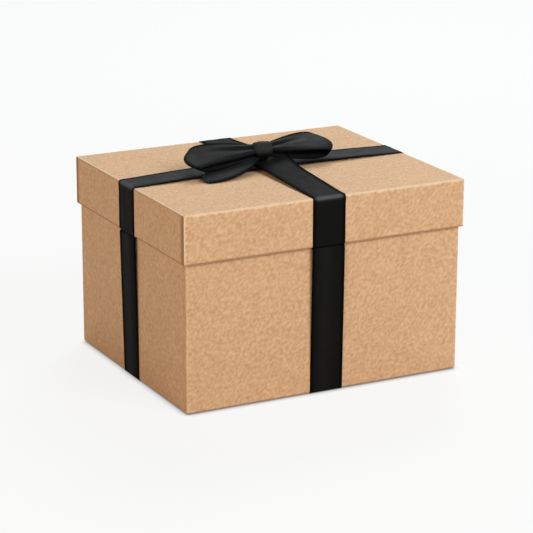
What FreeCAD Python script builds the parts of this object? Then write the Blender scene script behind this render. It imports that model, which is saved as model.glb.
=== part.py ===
import FreeCAD
import Part

import math
import os

# Rigid two-piece gift box with a satin ribbon and a bow.
# X runs along the front, Y to the back and Z up; the origin is under the middle of the base.

# Box
base_width = 210.8
base_depth = 175.8
box_height = 139.5
lid_skirt = 34.0
slip_gap = 0.9

# Stock
board = 1.0
wrap = 0.2
liner = 0.3
underside = 0.4
ribbon = 0.3
ribbon_width = 25.0
edge_radius = 1.0

# Turned edges, tapes and sheets
base_turn_in = 20.0
lid_turn_in = 20.0
turn_under = 15.0
tape_leg = 12.0
tape_gap = 1.0
liner_gap = 0.5
underside_inset = 5.0
ribbon_turn_in = 16.0
ribbon_turn_under = 22.0

# Slack in the base ribbon below the lid's rim
slack_start = 2.5
slack_run = 9.0
slack_depth = 1.9
slack_bend = 12.0

# Lid ribbons, pulled up to the knot
long_ribbon_y = 2.5
cross_ribbon_x = 1.0
long_pull = 2.4
cross_pull = 4.2
pull_half = 8.0

# Bow, with heights above the top of the lid
knot_centre = -3.8
knot_length = 14.5
knot_depth = 13.0
knot_top = 18.7
knot_corner = 4.5
knot_foot = 3.5
bow_blank = 75.0

# Levels
rim_wall = board + 2 * wrap
lid_width = base_width + 2 * (slip_gap + rim_wall)
lid_depth = base_depth + 2 * (slip_gap + rim_wall)
base_foot = underside + ribbon
base_rim = box_height - wrap - board - liner - ribbon
lid_rim = box_height - lid_skirt

parts = {}


def block(x, y, z):
    corner = FreeCAD.Vector(x[0], y[0], z[0])
    return Part.makeBox(x[1] - x[0], y[1] - y[0], z[1] - z[0], corner)


def middle_block(width, depth, level, other_level):
    z = sorted((level, other_level))
    return block((-width / 2, width / 2), (-depth / 2, depth / 2), z)


def eased_block(width, depth, closed, opened, radius):
    """Block with every edge rounded but those of its open end."""
    solid = middle_block(width, depth, closed, opened)
    edges = [edge for edge in solid.Edges if abs(edge.CenterOfMass.z - opened) > radius]
    return solid.makeFillet(radius, edges)


def tray_boards(name, closed_name, width, depth, closed, opened):
    """Five boards of an open tray; the short walls stand between the long ones."""
    up = math.copysign(1, opened - closed)
    outline = eased_block(width, depth, closed, opened, edge_radius - wrap)
    x_out = width / 2
    y_out = depth / 2
    x_in = x_out - board
    y_in = y_out - board
    joint = closed + up * board
    wall = sorted((joint, opened))
    blanks = {
        closed_name: middle_block(width, depth, closed, joint),
        "front": block((-x_out, x_out), (-y_out, -y_in), wall),
        "back": block((-x_out, x_out), (y_in, y_out), wall),
        "left": block((-x_out, -x_in), (-y_in, y_in), wall),
        "right": block((x_in, x_out), (-y_in, y_in), wall),
    }
    for place, blank in blanks.items():
        parts[f"{name}_{place}_board"] = outline.common(blank)


def tray_wrap(width, depth, closed, opened, turn_in):
    """Paper over the outside of a tray, round its rim and down inside."""
    up = math.copysign(1, opened - closed)
    outside = eased_block(width, depth, closed, opened, edge_radius)
    core_size = (width - 2 * wrap, depth - 2 * wrap)
    core = eased_block(*core_size, closed + up * wrap, opened - up * wrap, edge_radius - wrap)
    mouth_size = (width - 2 * rim_wall, depth - 2 * rim_wall)
    mouth = middle_block(*mouth_size, opened - up * turn_in, opened)
    band_size = (mouth_size[0] + 2 * wrap, mouth_size[1] + 2 * wrap)
    band = middle_block(*band_size, opened - up * turn_in, opened)
    return outside.cut(core).fuse(band).cut(mouth).removeSplitter()


def corner_stays(inner_width, inner_depth, low, high):
    """Four folded tapes in the inside corners of a tray."""
    tapes = []
    for x_side in (-1, 1):
        for y_side in (-1, 1):
            x = x_side * inner_width / 2
            y = y_side * inner_depth / 2
            x_leg = x - x_side * tape_leg
            y_leg = y - y_side * tape_leg
            x_face = x - x_side * wrap
            y_face = y - y_side * wrap
            leg = block(sorted((x, x_leg)), sorted((y, y_face)), (low, high))
            other = block(sorted((x, x_face)), sorted((y, y_leg)), (low, high))
            tapes.append(leg.fuse(other).removeSplitter())
    return Part.makeCompound(tapes)


def bent_path(points, radii):
    """Straight runs joined by tangent arcs, one radius for each inner point."""
    edges = []
    start = points[0]
    for before, corner, after, radius in zip(points, points[1:], points[2:], radii):
        into = (corner - before).normalize()
        out = (after - corner).normalize()
        half_turn = into.getAngle(out) / 2
        first = corner - into * radius * math.tan(half_turn)
        edges.append(Part.LineSegment(start, first).toShape())
        start = first
        if radius > 0:
            last = corner + out * radius * math.tan(half_turn)
            sag = radius * (1 / math.cos(half_turn) - 1)
            middle = corner + (out - into).normalize() * sag
            edges.append(Part.Arc(first, middle, last).toShape())
            start = last
    edges.append(Part.LineSegment(start, points[-1]).toShape())
    return edges


def ribbon_strip(route, width):
    """Ribbon laid on the left of a route in the XZ plane, with steps of (distance out, height, bend radius)."""
    inner = [FreeCAD.Vector(out, 0, height) for out, height, bend in route]
    runs = [(after - before).normalize() for before, after in zip(inner, inner[1:])]
    left = [FreeCAD.Vector(-run.z, 0, run.x) for run in runs]
    outer = [inner[0] + left[0] * ribbon]
    bends = [bend for out, height, bend in route[1:-1]]
    outer_bends = []
    for point, before, after, run, bend in zip(inner[1:], left, left[1:], runs, bends):
        outer.append(point + (before + after) * ribbon / (1 + before.dot(after)))
        turns_right = run.dot(after) > 0
        outer_bends.append(bend + ribbon if turns_right else max(bend - ribbon, 0))
    outer.append(inner[-1] + left[-1] * ribbon)
    near = bent_path(inner, bends)
    far = bent_path(outer, outer_bends)
    ends = [Part.LineSegment(inner[0], outer[0]).toShape(), Part.LineSegment(inner[-1], outer[-1]).toShape()]
    face = Part.Face(Part.Wire(Part.__sortEdges__(near + far + ends)))
    face.translate(FreeCAD.Vector(0, -width / 2, 0))
    return face.extrude(FreeCAD.Vector(0, width, 0))


def turned(shape, heading):
    """Shape turned about Z to face heading degrees."""
    shape.rotate(FreeCAD.Vector(0, 0, 0), FreeCAD.Vector(0, 0, 1), heading)
    return shape


def base_strip(half, heading, along):
    """Ribbon from inside the rim, over it, down the wall with some slack, and under the floor."""
    inside = half - rim_wall
    slack_top = lid_rim - slack_start
    route = [
        (inside, base_rim - ribbon_turn_in, 0),
        (inside, base_rim, 0),
        (half, base_rim, 0),
        (half, slack_top, slack_bend),
        (half + slack_depth, slack_top - slack_run, slack_bend),
        (half, base_foot, edge_radius),
        (half - ribbon_turn_under, base_foot, 0),
    ]
    strip = ribbon_strip(route, ribbon_width)
    strip.translate(FreeCAD.Vector(0, along, 0))
    return turned(strip, heading)


def lid_strip(half, heading, along, rise):
    """Ribbon over the lid, pulled up in the middle, with its ends turned up inside the rim."""
    inside = half - rim_wall
    left = [
        (-inside, lid_rim + ribbon_turn_in, 0),
        (-inside, lid_rim, 0),
        (-half, lid_rim, 0),
        (-half, box_height, edge_radius),
        (-pull_half, box_height + rise, 0),
    ]
    right = [(-out, height, bend) for out, height, bend in reversed(left)]
    strip = ribbon_strip(left + right, ribbon_width)
    strip.translate(FreeCAD.Vector(0, along, 0))
    return turned(strip, heading)


def bow_outline(near, far):
    """Flat face between two edges that leave the knot by arcs of three points, with a straight last run."""
    edges = []
    sides = []
    for side in (near, far):
        points = [FreeCAD.Vector(out, across, 0) for out, across in side]
        for bend in range(0, len(points) - 2, 2):
            edges.append(Part.Arc(*points[bend:bend + 3]).toShape())
        if len(points) % 2 == 0:
            edges.append(Part.LineSegment(points[-2], points[-1]).toShape())
        sides.append((points[0], points[-1]))
    edges.extend(Part.LineSegment(*pair).toShape() for pair in zip(*sides))
    return Part.Face(Part.Wire(Part.__sortEdges__(edges)))


def bow_piece(side, route, near, far, tilt):
    """Ribbon bent along a route out from the knot, cut to its two edges and tilted to the front."""
    blank = bow_outline(near, far).extrude(FreeCAD.Vector(0, 0, bow_blank))
    piece = ribbon_strip(route, 2 * bow_blank).common(blank)
    piece.rotate(FreeCAD.Vector(0, 0, 0), FreeCAD.Vector(1, 0, 0), tilt)
    if side < 0:
        piece = piece.mirror(FreeCAD.Vector(0, 0, 0), FreeCAD.Vector(1, 0, 0))
    piece.translate(FreeCAD.Vector(knot_centre, 0, box_height))
    return piece


def bow_knot():
    """Wrap round the bow's middle: a rounded bar along X, drawn in at its sides towards the lid."""
    seat = box_height + cross_pull + ribbon
    top = box_height + knot_top
    y_out = knot_depth / 2
    corners = [(0, seat), (y_out, seat), (y_out, top), (-y_out, top), (-y_out, seat), (0, seat)]
    section = bent_path([FreeCAD.Vector(-lid_width / 2, y, z) for y, z in corners], [knot_corner] * 4)
    bar = Part.Face(Part.Wire(section)).extrude(FreeCAD.Vector(lid_width, 0, 0))
    sides = []
    for side in (-1, 1):
        profile = ((knot_foot, seat), (knot_length / 2, (seat + top) / 2), (knot_length / 2, top))
        sides.append([FreeCAD.Vector(knot_centre + side * out, -y_out, z) for out, z in profile])
    edges = [Part.Arc(*side).toShape() for side in sides]
    edges.extend(Part.LineSegment(*pair).toShape() for pair in list(zip(*sides))[::2])
    front = Part.Face(Part.Wire(Part.__sortEdges__(edges)))
    return bar.common(front.extrude(FreeCAD.Vector(0, knot_depth, 0)))


def make_base():
    board_size = (base_width - 2 * wrap, base_depth - 2 * wrap)
    tray_boards("base", "floor", *board_size, base_foot + wrap, base_rim - wrap)
    inner_width = board_size[0] - 2 * board
    inner_depth = board_size[1] - 2 * board
    floor = base_foot + wrap + board
    parts["base_floor_liner"] = middle_block(
        inner_width - 2 * liner_gap, inner_depth - 2 * liner_gap, floor, floor + liner)
    tape_low = floor + liner + tape_gap
    tape_high = base_rim - base_turn_in - tape_gap
    parts["base_corner_stays"] = corner_stays(inner_width, inner_depth, tape_low, tape_high)
    window = middle_block(base_width - 2 * turn_under, base_depth - 2 * turn_under, base_foot, floor)
    parts["base_wrap"] = tray_wrap(base_width, base_depth, base_foot, base_rim, base_turn_in).cut(window)
    parts["base_underside_sheet"] = middle_block(
        base_width - 2 * underside_inset, base_depth - 2 * underside_inset, 0, underside)
    parts["base_ribbon_right"] = base_strip(base_width / 2, 0, long_ribbon_y)
    parts["base_ribbon_back"] = base_strip(base_depth / 2, 90, -cross_ribbon_x)
    parts["base_ribbon_left"] = base_strip(base_width / 2, 180, -long_ribbon_y)
    parts["base_ribbon_front"] = base_strip(base_depth / 2, 270, cross_ribbon_x)


def make_lid():
    board_size = (lid_width - 2 * wrap, lid_depth - 2 * wrap)
    tray_boards("lid", "top", *board_size, box_height - wrap, lid_rim + wrap)
    inner_width = board_size[0] - 2 * board
    inner_depth = board_size[1] - 2 * board
    ceiling = box_height - wrap - board
    parts["lid_top_liner"] = middle_block(
        inner_width - 2 * liner_gap, inner_depth - 2 * liner_gap, ceiling - liner, ceiling)
    tape_low = lid_rim + lid_turn_in + tape_gap
    tape_high = ceiling - liner - tape_gap
    parts["lid_corner_stays"] = corner_stays(inner_width, inner_depth, tape_low, tape_high)
    parts["lid_wrap"] = tray_wrap(lid_width, lid_depth, box_height, lid_rim, lid_turn_in)
    parts["lid_ribbon_long"] = lid_strip(lid_width / 2, 0, long_ribbon_y, long_pull)
    parts["lid_ribbon_cross"] = lid_strip(lid_depth / 2, 90, -cross_ribbon_x, cross_pull)


def make_bow():
    """Routes are (distance from the knot, height, bend radius); edges are (distance, place across)."""
    parts["bow_knot"] = bow_knot()
    left_route = [
        (5.0, 9.8, 0),
        (30.0, 10.4, 60.0),
        (58.5, 9.7, 1.6),
        (58.5, 13.1, 1.6),
        (30.0, 13.7, 60.0),
        (5.0, 13.4, 0),
    ]
    parts["bow_left_loop"] = bow_piece(
        side=-1, route=left_route, tilt=23.0,
        near=[(5.0, 1.0), (24.0, -1.6), (41.0, -2.2), (50.0, -4.2), (55.0, -11.5), (bow_blank, -11.5)],
        far=[(5.0, 10.5), (24.0, 16.9), (38.0, 21.2), (46.0, 20.8), (52.0, 13.8), (bow_blank, 13.8)])
    right_route = [
        (5.0, 7.6, 0),
        (30.0, 5.9, 60.0),
        (56.5, 5.9, 3.3),
        (56.5, 12.8, 3.3),
        (32.0, 14.9, 40.0),
        (5.0, 14.0, 0),
    ]
    parts["bow_right_loop"] = bow_piece(
        side=1, route=right_route, tilt=17.0,
        near=[(5.0, -1.4), (23.0, -4.4), (42.0, -6.2), (bow_blank, -6.2)],
        far=[(5.0, 8.2), (23.0, 14.4), (42.0, 18.2), (bow_blank, 18.2)])
    parts["bow_left_tail"] = bow_piece(
        side=-1, route=[(4.0, 6.6, 0), (28.0, 5.9, 60.0), (58.0, 4.6, 0)], tilt=10.0,
        near=[(4.0, -3.5), (20.0, -16.0), (38.0, -22.3), (47.0, -24.0), (52.5, -22.0), (55.5, -15.5)],
        far=[(4.0, 5.5), (20.0, 4.0), (37.0, 4.5)])


make_base()
make_lid()
make_bow()

os.makedirs("parts", exist_ok=True)
for name, shape in parts.items():
    print(name, shape.isValid(), len(shape.Solids), round(shape.Volume, 1))
    shape.exportStep(f"parts/{name}.step")
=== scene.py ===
import math

import bpy
import numpy as np
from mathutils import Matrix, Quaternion, Vector


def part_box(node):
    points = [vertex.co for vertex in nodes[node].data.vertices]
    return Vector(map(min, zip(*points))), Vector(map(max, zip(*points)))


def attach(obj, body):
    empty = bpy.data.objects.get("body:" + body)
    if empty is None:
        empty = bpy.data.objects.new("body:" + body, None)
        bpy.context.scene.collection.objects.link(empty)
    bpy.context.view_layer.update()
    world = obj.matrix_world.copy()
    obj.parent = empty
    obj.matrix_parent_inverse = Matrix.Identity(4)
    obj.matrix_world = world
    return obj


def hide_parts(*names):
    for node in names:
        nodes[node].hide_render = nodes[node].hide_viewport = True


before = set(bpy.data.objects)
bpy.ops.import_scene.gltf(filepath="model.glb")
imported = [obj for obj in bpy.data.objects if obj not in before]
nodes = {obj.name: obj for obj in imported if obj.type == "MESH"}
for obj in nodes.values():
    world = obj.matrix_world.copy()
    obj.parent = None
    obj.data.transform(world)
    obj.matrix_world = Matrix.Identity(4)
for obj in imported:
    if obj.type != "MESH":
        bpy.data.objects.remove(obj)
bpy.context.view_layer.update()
mm = 0.001
print("frame loaded with", len(nodes), "nodes")


# camera at the photograph's viewing angle, azimuth 0 looks at the front wall

photoView = {
    "azimuth": -27.405,
    "elevation": 16.806,
    "roll": 0.153,
    "distance": 1.6535,
    "target": (-0.000025, 0.0, 0.066424),
    "lens": 156.43,
    "sensor": 36.0,
}


def placeCamera(look):
    a, e = math.radians(look["azimuth"]), math.radians(look["elevation"])
    back = Vector((math.sin(a) * math.cos(e), -math.cos(a) * math.cos(e), math.sin(e)))
    data = bpy.data.cameras.new("photoCamera")
    data.lens = look["lens"]
    data.sensor_width = look["sensor"]
    camera = bpy.data.objects.new("photoCamera", data)
    camera.rotation_mode = "QUATERNION"
    turned = Quaternion((0, 0, 1), math.radians(look["roll"]))
    camera.rotation_quaternion = (-back).to_track_quat("-Z", "Y") @ turned
    camera.location = Vector(look["target"]) + back * look["distance"]
    bpy.context.scene.collection.objects.link(camera)
    bpy.context.scene.camera = camera


placeCamera(photoView)
print("camera placed")


# small helpers for node trees

def feed(tree, socket, value):
    # a socket is linked, a plain number or colour is set
    if isinstance(value, bpy.types.NodeSocket):
        tree.links.new(value, socket)
    else:
        socket.default_value = value


def calc(tree, operation, *values):
    node = tree.nodes.new("ShaderNodeMath")
    node.operation = operation
    for socket, value in zip(node.inputs, values):
        feed(tree, socket, value)
    return node.outputs[0]


def ramp(tree, value, low, high, toLow=0.0, toHigh=1.0):
    node = tree.nodes.new("ShaderNodeMapRange")
    node.interpolation_type = "SMOOTHSTEP"
    for socket, part in zip(node.inputs, (value, low, high, toLow, toHigh)):
        feed(tree, socket, part)
    return node.outputs[0]


def noise(tree, vector, scale, detail=2.0, roughness=0.5, distortion=0.0):
    node = tree.nodes.new("ShaderNodeTexNoise")
    feed(tree, node.inputs["Vector"], vector)
    node.inputs["Scale"].default_value = scale
    node.inputs["Detail"].default_value = detail
    node.inputs["Roughness"].default_value = roughness
    node.inputs["Distortion"].default_value = distortion
    return node.outputs["Fac"]


def tint(tree, share, first, second, blend="MIX"):
    node = tree.nodes.new("ShaderNodeMix")
    node.data_type = "RGBA"
    node.blend_type = blend
    # inputs 6 and 7 and output 2 are this node's colour sockets
    feed(tree, node.inputs["Factor"], share)
    feed(tree, node.inputs[6], first)
    feed(tree, node.inputs[7], second)
    return node.outputs[2]


def stretched(tree, vector, scale, turn=(0, 0, 0)):
    node = tree.nodes.new("ShaderNodeMapping")
    feed(tree, node.inputs["Vector"], vector)
    node.inputs["Scale"].default_value = scale
    node.inputs["Rotation"].default_value = turn
    return node.outputs["Vector"]


def raised(tree, height, strength, distance, under=None):
    node = tree.nodes.new("ShaderNodeBump")
    node.inputs["Strength"].default_value = strength
    node.inputs["Distance"].default_value = distance
    feed(tree, node.inputs["Height"], height)
    if under is not None:
        feed(tree, node.inputs["Normal"], under)
    return node.outputs["Normal"]


def newMaterial(name):
    material = bpy.data.materials.new(name)
    material.use_nodes = True
    tree = material.node_tree
    shader = tree.nodes["Principled BSDF"]
    place = tree.nodes.new("ShaderNodeTexCoord")
    return material, tree, shader, place


def dress(names, material):
    for name in names:
        mesh = nodes[name].data
        mesh.materials.clear()
        mesh.materials.append(material)


# kraft paper: pulp mottle, curly fibres, dark flecks, edges worn pale with a painted highlight, and painted
# shade by the folds and the rims

kraftLook = {
    "dark": (0.618, 0.346, 0.180, 1),
    "pale": (0.778, 0.516, 0.314, 1),
    "fibre": (0.860, 0.600, 0.385, 1),
    "fleck": (0.400, 0.215, 0.105, 1),
    # pale of the worn folds, part wear and part painted highlight
    "rubbedHighlight": (0.880, 0.660, 0.450, 1),
    # painted shade, beside the lid's folds and along the rims
    "shadeBrown": (0.350, 0.150, 0.050, 1),
    "mottleScale": 540.0,
    "mottleDetail": 0.4,
    "grainScale": 760.0,
    "cloudScale": 90.0,
    "contrast": (1.75, 0.25, 0.50),  # of the mottle, the grain and the cloud
    "pulpTurn": (math.radians(45), math.radians(-35.3), 0.0),
    "pulpDraw": (1.0, 1.0, 0.6),
    "fibreScale": 150.0,
    "fibreWarp": 1.2,
    "fibreWidth": 0.014,
    "breakScale": 330.0,
    "breakLimits": (0.50, 0.62),
    "fibreShare": 0.25,
    "fleckScale": 520.0,
    "fleckLimits": (0.70, 0.76),
    "fleckShare": 0.35,
    "roughness": (0.75, 0.86),
    "specular": 0.25,
    "sheen": 0.12,
    "sheenRough": 0.45,
    "mottleRelief": (0.17, 0.30 * mm),  # strength and height
    "fineRelief": (0.12, 0.12 * mm),
    "rubHighlightWidth": 2.1 * mm,
    "rubHighlightRagged": (0.7, 1.3),
    # widths of the painted shade beside the upright folds and under the upper one
    "foldWidth": 6.6 * mm,
    "capWidth": 5.0 * mm,
    # the painted shade along the lower rim
    "rimShadeWidth": 1.5 * mm,
    "rimShadeShare": 0.70,
}


def edgeDistances(tree, point, halfX, halfY, low, high):
    # how far a point of a box's skin is from the nearest upright edge, the nearest upper edge and the
    # lower rim, then from the front or back wall and from the top, and 1 on the two side walls
    axes = tree.nodes.new("ShaderNodeSeparateXYZ")
    feed(tree, axes.inputs[0], point)
    dx = calc(tree, "ABSOLUTE", calc(tree, "SUBTRACT", halfX, calc(tree, "ABSOLUTE", axes.outputs[0])))
    dy = calc(tree, "ABSOLUTE", calc(tree, "SUBTRACT", halfY, calc(tree, "ABSOLUTE", axes.outputs[1])))
    down = calc(tree, "ABSOLUTE", calc(tree, "SUBTRACT", high, axes.outputs[2]))
    upright = calc(tree, "MAXIMUM", dx, dy)
    upper = calc(tree, "MAXIMUM", calc(tree, "MINIMUM", dx, dy), down)
    lower = calc(tree, "SUBTRACT", axes.outputs[2], low)
    onSide = ramp(tree, calc(tree, "SUBTRACT", calc(tree, "MINIMUM", dy, down), dx), 0.0, 0.3 * mm)
    return upright, upper, lower, dy, down, onSide


def kraftMaterial(name, look, edges=None, shade=1.0, rubHighlightShare=0.0, foldShadeShare=0.0):
    material, tree, shader, place = newMaterial(name)
    point = place.outputs["Object"]
    # the pulp is drawn out a little along the box's diagonal
    drawn = stretched(tree, stretched(tree, point, (1, 1, 1), look["pulpTurn"]), look["pulpDraw"])
    mottle = noise(tree, drawn, look["mottleScale"], look["mottleDetail"])
    grain = noise(tree, point, look["grainScale"], roughness=0.6)
    cloud = noise(tree, point, look["cloudScale"])
    # paper runs from dark to pale by the sum of three sizes of noise
    pulp = 0.5
    for fine, gain in zip((mottle, grain, cloud), look["contrast"]):
        pulp = calc(tree, "ADD", pulp, calc(tree, "MULTIPLY", calc(tree, "SUBTRACT", fine, 0.5), gain))
    colour = tint(tree, pulp, look["dark"], look["pale"])
    # fibres are the thin level lines of a warped noise, broken up by a second one
    level = noise(tree, point, look["fibreScale"], 1.0, distortion=look["fibreWarp"])
    fromLine = calc(tree, "ABSOLUTE", calc(tree, "SUBTRACT", level, 0.5))
    line = ramp(tree, fromLine, 0.0, look["fibreWidth"], 1.0, 0.0)
    broken = ramp(tree, noise(tree, point, look["breakScale"], 1.0), *look["breakLimits"])
    fibre = calc(tree, "MULTIPLY", line, broken)
    colour = tint(tree, calc(tree, "MULTIPLY", fibre, look["fibreShare"]), colour, look["fibre"])
    fleck = ramp(tree, noise(tree, point, look["fleckScale"], 1.0, 0.4), *look["fleckLimits"])
    colour = tint(tree, calc(tree, "MULTIPLY", fleck, look["fleckShare"]), colour, look["fleck"])
    if edges:
        # worn pale along the folds, in a ragged line: part wear, part painted highlight where the folded
        # edges catch the light
        upright, upper, lower, along, down, onSide = edgeDistances(tree, point, *edges)
        ragged = calc(tree, "MULTIPLY", look["rubHighlightWidth"], ramp(tree, mottle, 0.25, 0.75, *look["rubHighlightRagged"]))
        away = calc(tree, "DIVIDE", calc(tree, "MINIMUM", upright, upper), ragged)
        colour = tint(tree, ramp(tree, away, 0.25, 1.0, rubHighlightShare, 0.0), colour, look["rubbedHighlight"])
        # painted shade on the side walls, beside the upright folds and thinner under the upper one
        cap = calc(tree, "ADD", calc(tree, "DIVIDE", down, look["capWidth"]), 0.5)
        fold = calc(tree, "MINIMUM", calc(tree, "DIVIDE", along, look["foldWidth"]), cap)
        foldShade = calc(tree, "MULTIPLY", ramp(tree, fold, 0.35, 1.0, foldShadeShare, 0.0), onSide)
        colour = tint(tree, foldShade, colour, look["shadeBrown"])
        # and painted shade along the lower rim
        rim = calc(tree, "DIVIDE", lower, look["rimShadeWidth"])
        colour = tint(tree, ramp(tree, rim, 0.2, 1.0, look["rimShadeShare"], 0.0), colour, look["shadeBrown"])
    if shade != 1.0:
        colour = tint(tree, 1.0, colour, (shade, shade, shade, 1), "MULTIPLY")
    feed(tree, shader.inputs["Base Color"], colour)
    feed(tree, shader.inputs["Roughness"], ramp(tree, mottle, 0.25, 0.75, *look["roughness"]))
    shader.inputs["Specular IOR Level"].default_value = look["specular"]
    shader.inputs["Sheen Weight"].default_value = look["sheen"]
    shader.inputs["Sheen Roughness"].default_value = look["sheenRough"]
    relief = raised(tree, mottle, *look["mottleRelief"])
    relief = raised(tree, calc(tree, "ADD", grain, fibre), *look["fineRelief"], relief)
    feed(tree, shader.inputs["Normal"], relief)
    return material


# half width, half depth, lower and upper level of each wrapped tray
baseLow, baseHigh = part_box("base_wrap")
lidLow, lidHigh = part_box("lid_wrap")
baseEdges = (baseHigh.x, baseHigh.y, baseLow.z, baseHigh.z)
lidEdges = (lidHigh.x, lidHigh.y, lidLow.z, lidHigh.z)
# the lid takes much more painted highlight and painted shade on its folds than the base
dress(["base_wrap"], kraftMaterial("kraftBase", kraftLook, baseEdges, rubHighlightShare=0.25, foldShadeShare=0.10))
dress(["lid_wrap"], kraftMaterial("kraftLid", kraftLook, lidEdges, rubHighlightShare=0.90, foldShadeShare=0.88))
liners = ["base_floor_liner", "base_underside_sheet", "lid_top_liner"]
dress(liners, kraftMaterial("kraftLiner", kraftLook, shade=0.94))
dress(["base_corner_stays", "lid_corner_stays"], kraftMaterial("stayTape", kraftLook, shade=0.86))


# grey pulp board, seen inside the open box

boardLook = {
    "grey": (0.330, 0.310, 0.275, 1),
    "dark": (0.190, 0.175, 0.150, 1),
    "pale": (0.520, 0.495, 0.450, 1),
    "pulpScale": 320.0,
    "pulpShare": 0.5,
    "speckScale": 900.0,
    "speckShare": 0.6,
    "shredScale": 620.0,
    "shredDraw": (1.0, 1.0, 1.9),
    "shredShare": 0.5,
    "limits": (0.66, 0.74),  # noise above these shows as a speck or a shred
    "roughness": 0.88,
    "specular": 0.3,
    "relief": (0.3, 0.25 * mm),
}


def boardMaterial(look):
    material, tree, shader, place = newMaterial("greyBoard")
    point = place.outputs["Object"]
    # grey with darker clouds of pulp, pale shreds and dark specks
    pulp = noise(tree, point, look["pulpScale"], 4.0, 0.65)
    speck = ramp(tree, noise(tree, point, look["speckScale"], 1.0), *look["limits"])
    drawn = stretched(tree, point, look["shredDraw"])
    shred = ramp(tree, noise(tree, drawn, look["shredScale"], 1.0), *look["limits"])
    colour = tint(tree, ramp(tree, pulp, 0.3, 0.7, 0.0, look["pulpShare"]), look["grey"], look["dark"])
    colour = tint(tree, calc(tree, "MULTIPLY", shred, look["shredShare"]), colour, look["pale"])
    colour = tint(tree, calc(tree, "MULTIPLY", speck, look["speckShare"]), colour, look["dark"])
    feed(tree, shader.inputs["Base Color"], colour)
    shader.inputs["Roughness"].default_value = look["roughness"]
    shader.inputs["Specular IOR Level"].default_value = look["specular"]
    feed(tree, shader.inputs["Normal"], raised(tree, pulp, *look["relief"]))
    return material


dress([name for name in nodes if name.endswith("_board")], boardMaterial(boardLook))
print("paper and board dressed")


# black satin, its threads follow the ribbon's own map: u across, v along, one unit is a ribbon's width

satinLook = {
    "black": (0.0074, 0.0074, 0.0076, 1),
    "worn": (0.0097, 0.0097, 0.0099, 1),
    # painted shade at both edges
    "edgeShade": (0.0030, 0.0030, 0.0031, 1),
    # painted highlight colour, mixed in by each piece's painted sheen
    "highlightTint": (0.100, 0.103, 0.109, 1),
    "roughness": (0.47, 0.55),
    "specular": 0.025,
    "duskSpecular": 0.010,
    "anisotropy": 0.7,
    "warpThreads": 110.0,
    "floatBreaks": 9.0,
    "weftThreads": 62.0,
    "driftScale": 3.0,
    "highlightBreak": (0.55, 1.3),
    "selvedge": 0.045,
    "selvedgeShare": 0.35,
    "cordShare": 0.6,
    "edgeFade": 0.17,
    "edgeRough": 0.45,
    "threadRelief": (0.10, 0.04 * mm),
    "selvedgeRelief": (0.25, 0.08 * mm),
}


def satinMaterial(name, look):
    material, tree, shader, place = newMaterial(name)
    flat = place.outputs["UV"]
    axes = tree.nodes.new("ShaderNodeSeparateXYZ")
    feed(tree, axes.inputs[0], flat)
    across, along = axes.outputs[0], axes.outputs[1]
    # long warp floats: noise drawn out along the ribbon
    drawn = stretched(tree, flat, (look["warpThreads"], look["floatBreaks"], 1.0))
    floats = noise(tree, drawn, 1.0, roughness=0.6)
    weft = calc(tree, "SINE", calc(tree, "MULTIPLY", along, look["weftThreads"] * 2 * math.pi))
    # selvedge: a firm corded band along both edges
    fromEdge = calc(tree, "SUBTRACT", 0.5, calc(tree, "ABSOLUTE", calc(tree, "SUBTRACT", across, 0.5)))
    band = ramp(tree, fromEdge, look["selvedge"] * 0.7, look["selvedge"] * 1.3, 1.0, 0.0)
    cord = calc(tree, "MULTIPLY", band, ramp(tree, weft, -1.0, 1.0))
    colour = tint(tree, ramp(tree, floats, 0.3, 0.75), look["black"], look["worn"])
    colour = tint(tree, calc(tree, "MULTIPLY", band, look["selvedgeShare"]), colour, look["worn"])
    # painted highlight and sheen, paler where each piece paints it on, broken up by the floats
    highlightTint = tree.nodes.new("ShaderNodeAttribute")
    highlightTint.attribute_name = "paintedSheen"
    broken = ramp(tree, floats, 0.25, 0.65, *look["highlightBreak"])
    colour = tint(tree, calc(tree, "MULTIPLY", highlightTint.outputs["Fac"], broken), colour, look["highlightTint"])
    # painted shade towards both edges, which are also duller
    colour = tint(tree, ramp(tree, fromEdge, 0.0, look["edgeFade"], 1.0, 0.0), colour, look["edgeShade"])
    feed(tree, shader.inputs["Base Color"], colour)
    gloss = ramp(tree, noise(tree, flat, look["driftScale"]), 0.3, 0.7, *look["roughness"])
    dull = ramp(tree, fromEdge, 0.0, look["edgeFade"], look["edgeRough"], 0.0)
    feed(tree, shader.inputs["Roughness"], calc(tree, "ADD", gloss, dull))
    shader.inputs["Specular IOR Level"].default_value = look["specular"]
    # the sheen spreads across the threads, which run along the ribbon
    shader.inputs["Anisotropic"].default_value = look["anisotropy"]
    threadWay = tree.nodes.new("ShaderNodeTangent")
    threadWay.direction_type = "UV_MAP"
    threadWay.uv_map = "ribbonMap"
    feed(tree, shader.inputs["Tangent"], threadWay.outputs[0])
    threads = raised(tree, floats, *look["threadRelief"])
    corded = calc(tree, "ADD", band, calc(tree, "MULTIPLY", cord, look["cordShare"]))
    feed(tree, shader.inputs["Normal"], raised(tree, corded, *look["selvedgeRelief"], threads))
    return material


satin = satinMaterial("blackSatin", satinLook)
# the ribbon that runs front to back and the strips on the base's walls have less sheen
duskSatin = satinMaterial("duskSatin", {**satinLook, "specular": satinLook["duskSpecular"]})


# grid surfaces

ribbonStock = {"width": 25.0, "thickness": 0.26, "gap": 0.02}


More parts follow.
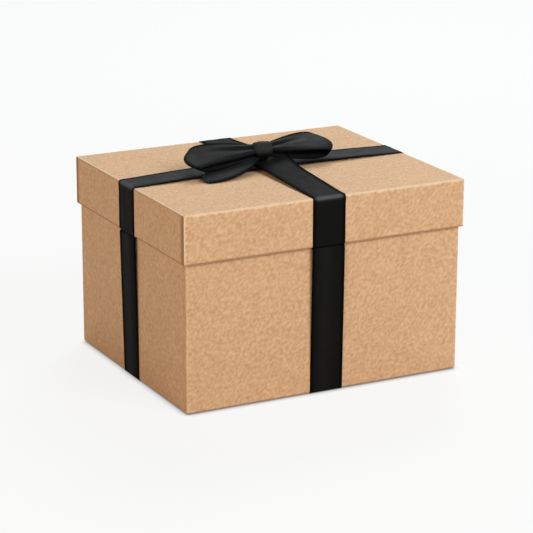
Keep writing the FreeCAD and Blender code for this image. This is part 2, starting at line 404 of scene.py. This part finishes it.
def gridPiece(name, points, uv, thickness, offset, closed=False, paintedSheen=0.0, cloth=satin):
    # points[i, j] in mm, i along and j across, make one quad between each four neighbours;
    # the painted sheen is kept at each point for the satin's painted highlight
    rows, columns = points.shape[:2]
    i, j = np.meshgrid(np.arange(rows if closed else rows - 1), np.arange(columns - 1), indexing="ij")
    here, ahead = i * columns + j, (i + 1) % rows * columns + j
    quads = np.stack([here, ahead, ahead + 1, here + 1], -1).reshape(-1, 4)
    mesh = bpy.data.meshes.new(name)
    mesh.from_pydata(points.reshape(-1, 3) * mm, [], quads)
    # the seam of a closed grid takes its last row of the map from one step further on
    rowUv = np.concatenate([uv, 2 * uv[-1:] - uv[-2:-1]]) if closed else uv
    further = here + columns
    corner = np.stack([here, further, further + 1, here + 1], -1)
    layer = mesh.uv_layers.new(name="ribbonMap")
    layer.data.foreach_set("uv", rowUv.reshape(-1, 2)[corner.reshape(-1)].astype(np.float32).ravel())
    mesh.polygons.foreach_set("use_smooth", np.ones(len(quads), bool))
    mark = mesh.attributes.new("paintedSheen", "FLOAT", "POINT")
    mark.data.foreach_set("value", np.broadcast_to(paintedSheen, (rows, columns)).astype(np.float32).ravel())
    mesh.materials.append(cloth)
    mesh.update()
    piece = bpy.data.objects.new(name, mesh)
    bpy.context.scene.collection.objects.link(piece)
    wall = piece.modifiers.new("thickness", "SOLIDIFY")
    wall.thickness = thickness * mm
    wall.offset = offset
    wall.use_even_offset = not closed
    return piece


def flatMap(across, far):
    # u from 0 to 1 across the ribbon, v along it in ribbon widths
    return np.stack(np.broadcast_arrays(across / 2 + 0.5, far / ribbonStock["width"]), -1)


def roundedRoute(corners, radii, step, arcPoints=13):
    # straight runs joined by arcs, with points at most one step apart along the whole line
    corners = np.array(corners, float)
    pieces = [corners[:1]]
    for before, here, after, radius in zip(corners, corners[1:], corners[2:], radii):
        inward, onward = before - here, after - here
        inward, onward = inward / np.linalg.norm(inward), onward / np.linalg.norm(onward)
        half = math.acos(np.clip(inward @ onward, -1, 1)) / 2
        centre = here + (inward + onward) / np.linalg.norm(inward + onward) * radius / math.sin(half)
        start, end = here + inward * radius / math.tan(half), here + onward * radius / math.tan(half)
        t = np.linspace(0, 1, arcPoints)[:, None]
        swing = math.pi - 2 * half
        arc = np.sin((1 - t) * swing) * (start - centre) + np.sin(t * swing) * (end - centre)
        pieces.append(centre + arc / math.sin(swing))
    line = np.concatenate(pieces + [corners[-1:]])
    far = np.concatenate([[0], np.cumsum(np.linalg.norm(np.diff(line, axis=0), axis=1))])
    # arcs keep their own points, so that tight folds stay round
    extra = np.arange(0, far[-1], step)
    stations = np.unique(np.round(np.concatenate([far, extra]), 4))
    points = [np.interp(stations, far, line[:, axis]) for axis in (0, 1)]
    return np.stack(points, -1), stations


def smooth(value, low, high):
    # eases from 0 at low to 1 at high: 3 t^2 - 2 t^3
    t = np.clip((value - low) / (high - low), 0, 1)
    return t * t * (3 - 2 * t)


def swells(across):
    # (1 - cos(2 pi across)) / 2 * (1 - across^4): a soft swell each side of the middle, edges down
    return (1 - np.cos(2 * np.pi * across)) / 2 * (1 - across**4)


def blackRibbon(piece, body, node):
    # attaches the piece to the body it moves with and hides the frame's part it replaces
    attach(piece, body)
    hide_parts(node)


def ribbonStrip(name, route, radii, outward, shape, step=1.5, columns=25, cloth=duskSatin):
    # strip = route (out, level) carried across the ribbon's width; shape(out, level, across) gives the
    # rise along the route's normal, the middle's place along the wall and the painted sheen
    line, far = roundedRoute(route, radii, step)
    out = np.array([outward[0], outward[1], 0.0])
    up = np.array([0.0, 0.0, 1.0])
    along = np.cross(up, out)
    tangent = np.gradient(line, far, axis=0)
    tangent /= np.linalg.norm(tangent, axis=1)[:, None]
    side = np.stack([-tangent[:, 1], tangent[:, 0]], -1)
    across = np.linspace(-1, 1, columns)[None, :]
    rise, middle, paintedSheen = shape(line[:, 0:1], line[:, 1:2], across)
    place = line[:, None, :] + side[:, None, :] * (ribbonStock["gap"] + rise)[..., None]
    sideways = middle + ribbonStock["width"] / 2 * across
    points = place[..., :1] * out + place[..., 1:] * up + sideways[..., None] * along
    uv = flatMap(across, far[:, None])
    return gridPiece(name, points, uv, ribbonStock["thickness"], 1.0, paintedSheen=paintedSheen, cloth=cloth)


# base ribbons: glued inside the rim, over it, slack under the lid's skirt, then turned under the floor

baseRibbon = {
    "turnIn": 16.0,
    "rimWall": 1.4,
    "slack": 2.1,
    "slackStart": 0.55,
    "slackEnd": 1.9,
    "underReach": 22.0,
    "radii": (0.35, 0.45, 0.7, 1.0, 0.7),  # of the route's five turns
    "swell": 0.16,
    "bandAt": -0.20,
    "bandWidth": 0.45,
    "flatLength": 177.0,
    # sheen: how much painted sheen each wall's strip takes
    "front": {"node": "base_ribbon_front", "outward": (0, -1), "middle": 0.7, "sheen": 0.035},
    "back": {"node": "base_ribbon_back", "outward": (0, 1), "middle": -1.5, "sheen": 0.035},
    "left": {"node": "base_ribbon_left", "outward": (-1, 0), "middle": -1.2, "sheen": 0.13},
    "right": {"node": "base_ribbon_right", "outward": (1, 0), "middle": 4.5, "sheen": 0.13},
}


def baseStrip(name, look, where):
    outward = where["outward"]
    half = (baseHigh.x if outward[0] else baseHigh.y) / mm
    rim, foot, skirt = baseHigh.z / mm, baseLow.z / mm, lidLow.z / mm
    inside = half - look["rimWall"]
    route = [
        (inside, rim - look["turnIn"]),
        (inside, rim),
        (half, rim),
        (half, skirt - look["slackStart"]),
        (half + look["slack"], skirt - look["slackEnd"]),
        (half, foot),
        (half - look["underReach"], foot),
    ]

    def shape(out, level, across):
        # it swells only on the free run, well clear of the foot and the skirt
        free = smooth(level, foot + 1, foot + 14) * smooth(-level, 4 - skirt, 14 - skirt)
        # painted sheen in one soft band, a little to one side of the middle
        band = np.exp(-(((across - look["bandAt"]) / look["bandWidth"]) ** 2))
        return look["swell"] * free * swells(across), where["middle"], where["sheen"] * band

    piece = ribbonStrip(name, route, look["radii"], outward, shape)
    blackRibbon(piece, "base", where["node"])


for wall in ("front", "back", "left", "right"):
    baseStrip("baseRibbon" + wall.capitalize(), baseRibbon, baseRibbon[wall])
print("base ribbons made")


# lid ribbons: turned up inside the skirt, up the walls and over the top, pulled up to the knot

lidRibbon = {
    "turnIn": 16.0,
    "rimWall": 1.4,
    "rimRadii": (0.35, 0.45),
    "easeRadius": 20.0,
    "foldRadius": 2.1,
    "foldProud": 0.35,
    "foldRun": 8.0,
    # width and strength of the painted highlight on the folds over the lid's edges
    "foldWidth": 1.3,
    "foldHighlight": 1.5,
    "peakReach": 15.0,
    "swell": 0.12,
    "long": {
        "node": "lid_ribbon_long", "outward": (1, 0), "pull": (2.4, 2.4), "sag": 2.2, "peak": (0.0, 0.0),
        "middle": (1.2, 5.0), "sheen": 0.06, "flatLength": 317.0, "cloth": satin,
    },
    "cross": {
        "node": "lid_ribbon_cross", "outward": (0, 1), "pull": (5.6, 3.4), "sag": 1.0, "peak": (4.0, 0.6),
        "middle": (-0.7, -2.7), "sheen": 0.03, "flatLength": 283.0, "cloth": duskSatin,
    },
}


def lidStrip(name, look, one):
    half = (lidHigh.x if one["outward"][0] else lidHigh.y) / mm
    inside, rim, top = half - look["rimWall"], lidLow.z / mm, lidHigh.z / mm
    proud, run = look["foldProud"], look["foldRun"]
    oneEnd = [
        (inside, rim + look["turnIn"]),
        (inside, rim),
        (half, rim),
        (half, top - run),
        (half + proud, top + proud),
        (half - run, top),
    ]
    radii = [*look["rimRadii"], look["easeRadius"], look["foldRadius"], look["easeRadius"]]
    route = [(-out, level) for out, level in oneEnd] + oneEnd[::-1]

    def shape(out, level, across):
        # pulled up like a tent: pull * (1 - (out / half)^sag), each edge by its own pull, with a
        # steeper peak * exp(-(out / peakReach)^2) beside the knot
        reach = np.abs(out) / half
        onTop = smooth(level, top - 0.6, top)
        pull = np.interp(across, (-1, 1), one["pull"])
        tent = pull * np.clip(1 - reach ** one["sag"], 0, 1)
        tent = tent + np.interp(across, (-1, 1), one["peak"]) * np.exp(-((out / look["peakReach"]) ** 2))
        swell = look["swell"] * swells(across) * smooth(level, rim + 2, rim + 12)
        middle = np.interp(out, (-half, half), one["middle"])
        # painted highlight on the folds over the lid's edge, and a little painted sheen on top
        fold = np.hypot(np.abs(out) - half, level - top)
        paintedSheen = look["foldHighlight"] * np.exp(-((fold / look["foldWidth"]) ** 2)) * (1 - across**8)
        paintedSheen = paintedSheen + one["sheen"] * onTop
        return onTop * tent + swell, middle, paintedSheen

    radii = radii + radii[::-1]
    piece = ribbonStrip(name, route, radii, one["outward"], shape, step=0.8, cloth=one["cloth"])
    blackRibbon(piece, "lid", one["node"])


lidStrip("lidRibbonLong", lidRibbon, lidRibbon["long"])
lidStrip("lidRibbonCross", lidRibbon, lidRibbon["cross"])
print("lid ribbons made")


# bow: two loops pinched in a wrapped knot, heights above the lid's top

lidTop = lidHigh.z / mm
bowLoops = {
    "centre": -3.5, "neck": 2.5, "gather": 8.0, "thickness": 0.3, "crown": 0.5, "neckCrown": 1.6,
    "foldDepth": 1.8, "foldWidth": 0.28, "foldFade": (0.1, 0.85), "ripple": 0.25, "ripples": 4.0,
    "ripplePhase": 0.6, "splayPower": 1.4, "tiltPower": 4.0, "endPower": 5.0, "gloss": 0.035,
    "grid": (181, 49),
    "left": {
        "node": "bow_left_loop", "side": -1, "reach": 58.2, "knotLevel": 12.0, "endLevel": 11.6,
        "neckDrop": (0.5, 2.0), "opening": (1.0, 1.6), "square": 0.75, "drift": -2.0, "splay": (-6.0, 10.0),
        "tilt": (34.0, 26.0), "endTilt": -13.0, "rounding": 7.5, "skew": -0.5, "fold": (0.0, 0.1),
        "sheen": 0.0, "flatLength": 118.0,
    },
    "right": {
        "node": "bow_right_loop", "side": 1, "reach": 54.0, "knotLevel": 12.0, "endLevel": 11.3,
        "neckDrop": (0.3, 2.0), "opening": (1.6, 3.6), "square": 0.85, "drift": 3.5, "splay": (-5.0, 2.0),
        "tilt": (38.0, 22.0), "endTilt": -13.0, "rounding": 8.0, "skew": 0.0, "fold": (-0.1, 0.7),
        "sheen": 0.13, "flatLength": 110.0,
    },
}


def bowLoop(name, look, loop):
    # spine: out = sin(a / 2) runs away from the knot and back, low = cos(a / 2) goes from the lower
    # strand to the upper; a pair of values is for the lower and the upper strand
    rows, columns = look["grid"]
    a = np.linspace(0, 2 * np.pi, rows)[:, None]
    across = np.linspace(-1, 1, columns)[None, :]
    out, low = np.sin(a / 2), np.cos(a / 2)
    upper = (1 - low) / 2

    def strand(pair):
        return pair[0] + (pair[1] - pair[0]) * upper

    side = loop["side"]
    x = look["centre"] + side * (look["neck"] + loop["reach"] * out)
    y = loop["drift"] * out - strand(loop["splay"]) * out ** look["splayPower"] * low * np.abs(low) ** 0.3
    level = loop["knotLevel"] + (loop["endLevel"] - loop["knotLevel"]) * out
    spread = np.sign(low) * np.abs(low) ** loop["square"]
    z = lidTop + level - (strand(loop["neckDrop"]) + strand(loop["opening"]) * out) * spread
    spine = np.stack([x, y, z], -1)
    roll = np.radians(strand(loop["tilt"]) + loop["endTilt"] * out ** look["tiltPower"])
    width = np.stack([np.zeros_like(roll), np.cos(roll), np.sin(roll)], -1)
    normal = -side * np.cross(np.gradient(spine, axis=0), width)
    normal /= np.linalg.norm(normal, axis=-1)[..., None]
    # gathered towards the knot, with a crown, a deep fold on the upper strand and fine ripples
    pinch = (1 - out) ** 2
    half = (ribbonStock["width"] - (ribbonStock["width"] - look["gather"]) * pinch) / 2
    foldAt = loop["fold"][0] + (loop["fold"][1] - loop["fold"][0]) * out
    fold = look["foldDepth"] * upper * np.exp(-(((across - foldAt) / look["foldWidth"]) ** 2))
    fold = fold * smooth(-out, -look["foldFade"][1], -look["foldFade"][0])
    lift = (look["crown"] + look["neckCrown"] * pinch * upper) * (1 - across**2) - fold
    lift = lift + look["ripple"] * pinch * np.cos(np.pi * look["ripples"] * across + look["ripplePhase"])
    points = spine + width * (half * across)[..., None] + normal * lift[..., None]
    # the far end is rounded off and set askew
    points[..., 0] += side * (loop["skew"] * across - loop["rounding"] * across**2) * out ** look["endPower"]
    far = np.cumsum(np.linalg.norm(np.gradient(spine, axis=0), axis=-1))[:, None]
    uv = flatMap(across, far)
    if side > 0:  # turned over, so that the faces point outwards here too
        points, uv = points[:, ::-1], uv[:, ::-1]
    # painted sheen all over, and a painted highlight on the outer part of the upper strand
    paintedSheen = look["gloss"] + loop["sheen"] * smooth(upper, 0.6, 0.9) * smooth(out, 0.25, 0.75)
    piece = gridPiece(name, points, uv, look["thickness"], 0.0, paintedSheen=paintedSheen)
    blackRibbon(piece, "lid", loop["node"])


# knot: a gathered band wound once round the middle

knotShape = {
    "node": "bow_knot", "centre": -4.0, "length": 14.5, "depth": 13.0, "foot": 5.2, "height": 13.3,
    "square": 2.2, "footShare": 0.45, "footDepth": 0.4, "lean": 0.3, "slope": 2.0, "endDraw": 0.80,
    "drawFrom": 0.45, "broadFolds": 2.3, "fineFolds": 11.3, "foldDepth": (0.20, 0.18),
    "thickness": 0.3, "paintedSheen": 0.29, "flatLength": 39.0, "grid": (96, 129),
}


def bowKnot(name, look):
    # band: a rounded square in y and z by the angle t, drawn in at both edges s = -1, 1 and towards its foot
    rows, columns = look["grid"]
    t = np.linspace(0, 2 * np.pi, rows + 1)[:-1, None]
    s = np.linspace(-1, 1, columns)[None, :]
    c, k = np.cos(t), np.sin(t)
    power = 2 / look["square"]
    ring = 1 - look["endDraw"] * smooth(np.abs(s), look["drawFrom"], 1.0)
    # soft uneven folds that wander as they go round
    wander = -2.2 * k + 1.3 * c + 0.7 * np.sin(3 * t)
    broad = look["foldDepth"][0] * np.cos(look["broadFolds"] * np.pi * s + 0.9 * k - 0.4)
    fine = look["foldDepth"][1] * np.cos(look["fineFolds"] * np.pi * s + wander)
    pleat = broad + fine
    rise = np.sign(k) * np.abs(k) ** power
    foot = smooth(-rise, 0.0, 1.0)
    y = np.sign(c) * np.abs(c) ** power * (look["depth"] / 2 * ring * (1 - look["footDepth"] * foot) + pleat)
    z = lidTop + look["foot"] + look["height"] / 2 + rise * (look["height"] / 2 * ring + pleat)
    wide = 1 - (1 - look["footShare"]) * foot
    x = look["centre"] + look["lean"] * rise + look["length"] / 2 * wide * np.sin(s * np.pi / 2)
    # the front slopes back towards the top
    y = y + look["slope"] * smooth(-c, -0.2, 1.0) * (rise + 1) / 2
    points = np.stack(np.broadcast_arrays(x, y, z), -1)
    uv = flatMap(s, t / (2 * np.pi) * look["flatLength"])
    # painted highlight on its upper half, away from the edges
    paintedSheen = look["paintedSheen"] * smooth(rise, -0.25, 0.45) * (1 - smooth(np.abs(s), 0.72, 0.95))
    points, uv, paintedSheen = points[:, ::-1], uv[:, ::-1], paintedSheen[:, ::-1]
    piece = gridPiece(name, points, uv, look["thickness"], -1.0, closed=True, paintedSheen=paintedSheen)
    blackRibbon(piece, "lid", look["node"])


# tail: the loose end under the left loop, cut on a slant

bowTail = {
    "node": "bow_left_tail", "centre": -3.8, "start": 4.0, "frontTip": 55.5, "backTip": 37.0, "tipAt": -0.42,
    "slantPower": 1.15, "corner": 3.0, "level": 6.7, "fall": 0.039, "tilt": 10.0, "neckFront": -3.5,
    "swing": 20.6, "swingRun": 44.0, "swingPower": 0.85, "back": (5.5, 3.0), "crown": 0.5,
    "ripple": 0.45, "ripples": 2.6, "ripplePhase": 0.5, "neckLift": 3.0, "thickness": 0.3, "gloss": 0.035,
    "flatLength": 55.0, "meanLength": 47.0, "grid": (91, 41),
}


def bowTailPiece(name, look):
    # s runs out from the knot to the slanted end, across from the front edge to the back one
    rows, columns = look["grid"]
    s = np.linspace(0, 1, rows)[:, None]
    across = np.linspace(-1, 1, columns)[None, :]
    fromTip = across - look["tipAt"]
    slant = (np.clip(fromTip, 0, 2) / (1 - look["tipAt"])) ** look["slantPower"]
    slant = (look["frontTip"] - look["backTip"]) * slant
    corner = look["corner"] * (np.clip(-fromTip, 0, 2) / (1 + look["tipAt"])) ** 2
    out = look["start"] + (look["frontTip"] - slant - corner - look["start"]) * s
    # the front edge swings out like a quarter sine, the back edge runs nearly straight
    gone = (out - look["start"]) / look["swingRun"]
    front = look["neckFront"] - look["swing"] * np.sin(np.pi / 2 * gone ** look["swingPower"])
    back = look["back"][0] + (look["back"][1] - look["back"][0]) * gone
    y = front + (back - front) * (across + 1) / 2
    pinch = (1 - gone).clip(0, 1) ** 2
    z = look["level"] - look["fall"] * (out - look["start"]) + look["crown"] * (1 - across**2) * (1 - pinch)
    # rippled and lifted towards the knot
    ripple = np.cos(look["ripples"] * np.pi * across + look["ripplePhase"])
    z = z + look["ripple"] * pinch * ripple * smooth(s, 0.0, 0.1)
    z = z + look["neckLift"] * pinch
    tilt = math.radians(look["tilt"])
    points = np.stack([
        look["centre"] - out,
        y * math.cos(tilt) - z * math.sin(tilt),
        lidTop + z * math.cos(tilt) + y * math.sin(tilt),
    ], -1)
    uv = flatMap(across, out)
    # an even painted sheen all over
    piece = gridPiece(name, points[:, ::-1], uv[:, ::-1], look["thickness"], 0.0, paintedSheen=look["gloss"])
    blackRibbon(piece, "lid", look["node"])


bowKnot("bowKnot", knotShape)
bowLoop("bowLeftLoop", bowLoops, bowLoops["left"])
bowLoop("bowRightLoop", bowLoops, bowLoops["right"])
bowTailPiece("bowLeftTail", bowTail)
print("bow tied")


# pale floor, soft light and white surroundings

studio = {
    "floorSize": 6.0,
    "floorBounce": (0.88, 0.84, 0.78, 1),
    "floorSeen": (0.115, 0.120, 0.128, 1),
    "floorGlow": (1.0, 0.997, 0.985, 1),
    "floorGlowStrength": 0.85,
    "contactReach": 0.006,
    "contactShare": 0.75,
    "ambient": 0.15,
    "aim": (0.0, 0.0, 0.07),
    "lamps": [  # name, place, size, power and colour
        ("keyLamp", (0.55, -1.5, 1.3), 1.1, 21.8, (0.95, 0.99, 1.0)),
        ("topLamp", (0.88, 1.2, 1.48), 1.0, 24.5, (0.88, 0.98, 1.0)),
        ("fillLamp", (-1.6, -0.9, 1.0), 1.2, 12.0, (1.0, 0.75, 0.51)),
    ],
}


def seenDirectly(tree):
    # 1 for camera, glossy and transmission rays
    path = tree.nodes.new("ShaderNodeLightPath")
    seen = calc(tree, "MAXIMUM", path.outputs["Is Camera Ray"], path.outputs["Is Glossy Ray"])
    return calc(tree, "MAXIMUM", seen, path.outputs["Is Transmission Ray"])


def makeFloor(look):
    half = look["floorSize"] / 2
    mesh = bpy.data.meshes.new("floor")
    corners = [(-half, -half, 0), (half, -half, 0), (half, half, 0), (-half, half, 0)]
    mesh.from_pydata(corners, [], [(0, 1, 2, 3)])
    floor = bpy.data.objects.new("floor", mesh)
    bpy.context.scene.collection.objects.link(floor)
    material = bpy.data.materials.new("paleFloor")
    material.use_nodes = True
    tree = material.node_tree
    tree.nodes.remove(tree.nodes["Principled BSDF"])
    bounce, shown = tree.nodes.new("ShaderNodeBsdfDiffuse"), tree.nodes.new("ShaderNodeBsdfDiffuse")
    bounce.inputs["Color"].default_value = look["floorBounce"]
    shown.inputs["Color"].default_value = look["floorSeen"]
    glow = tree.nodes.new("ShaderNodeEmission")
    glow.inputs["Color"].default_value = look["floorGlow"]
    # painted contact shadow: the glow dies away close under the box, so that its foot meets the floor in a
    # dark line
    contactShadow = tree.nodes.new("ShaderNodeAmbientOcclusion")
    contactShadow.inputs["Distance"].default_value = look["contactReach"]
    strength = look["floorGlowStrength"]
    least = strength * (1 - look["contactShare"])
    feed(tree, glow.inputs["Strength"], ramp(tree, contactShadow.outputs["AO"], 0.0, 1.0, least, strength))
    both, pick = tree.nodes.new("ShaderNodeAddShader"), tree.nodes.new("ShaderNodeMixShader")
    tree.links.new(shown.outputs[0], both.inputs[0])
    tree.links.new(glow.outputs[0], both.inputs[1])
    tree.links.new(seenDirectly(tree), pick.inputs[0])
    tree.links.new(bounce.outputs[0], pick.inputs[1])
    tree.links.new(both.outputs[0], pick.inputs[2])
    tree.links.new(pick.outputs[0], tree.nodes["Material Output"].inputs["Surface"])
    mesh.materials.append(material)


def makeLight(look):
    for name, place, size, power, colour in look["lamps"]:
        data = bpy.data.lights.new(name, "AREA")
        data.shape = "DISK"
        data.size = size
        data.energy = power
        data.color = colour
        light = bpy.data.objects.new(name, data)
        light.location = place
        aim = Vector(look["aim"]) - Vector(place)
        light.rotation_euler = aim.to_track_quat("-Z", "Y").to_euler()
        bpy.context.scene.collection.objects.link(light)
    world = bpy.data.worlds.new("studio")
    bpy.context.scene.world = world
    world.use_nodes = True
    tree = world.node_tree
    sky = tree.nodes["Background"]
    sky.inputs["Color"].default_value = look["floorGlow"]
    feed(tree, sky.inputs["Strength"], ramp(tree, seenDirectly(tree), 0.0, 1.0, look["ambient"], 1.0))


makeFloor(studio)
makeLight(studio)
bpy.context.scene.view_settings.view_transform = "Standard"
print("floor and light set")
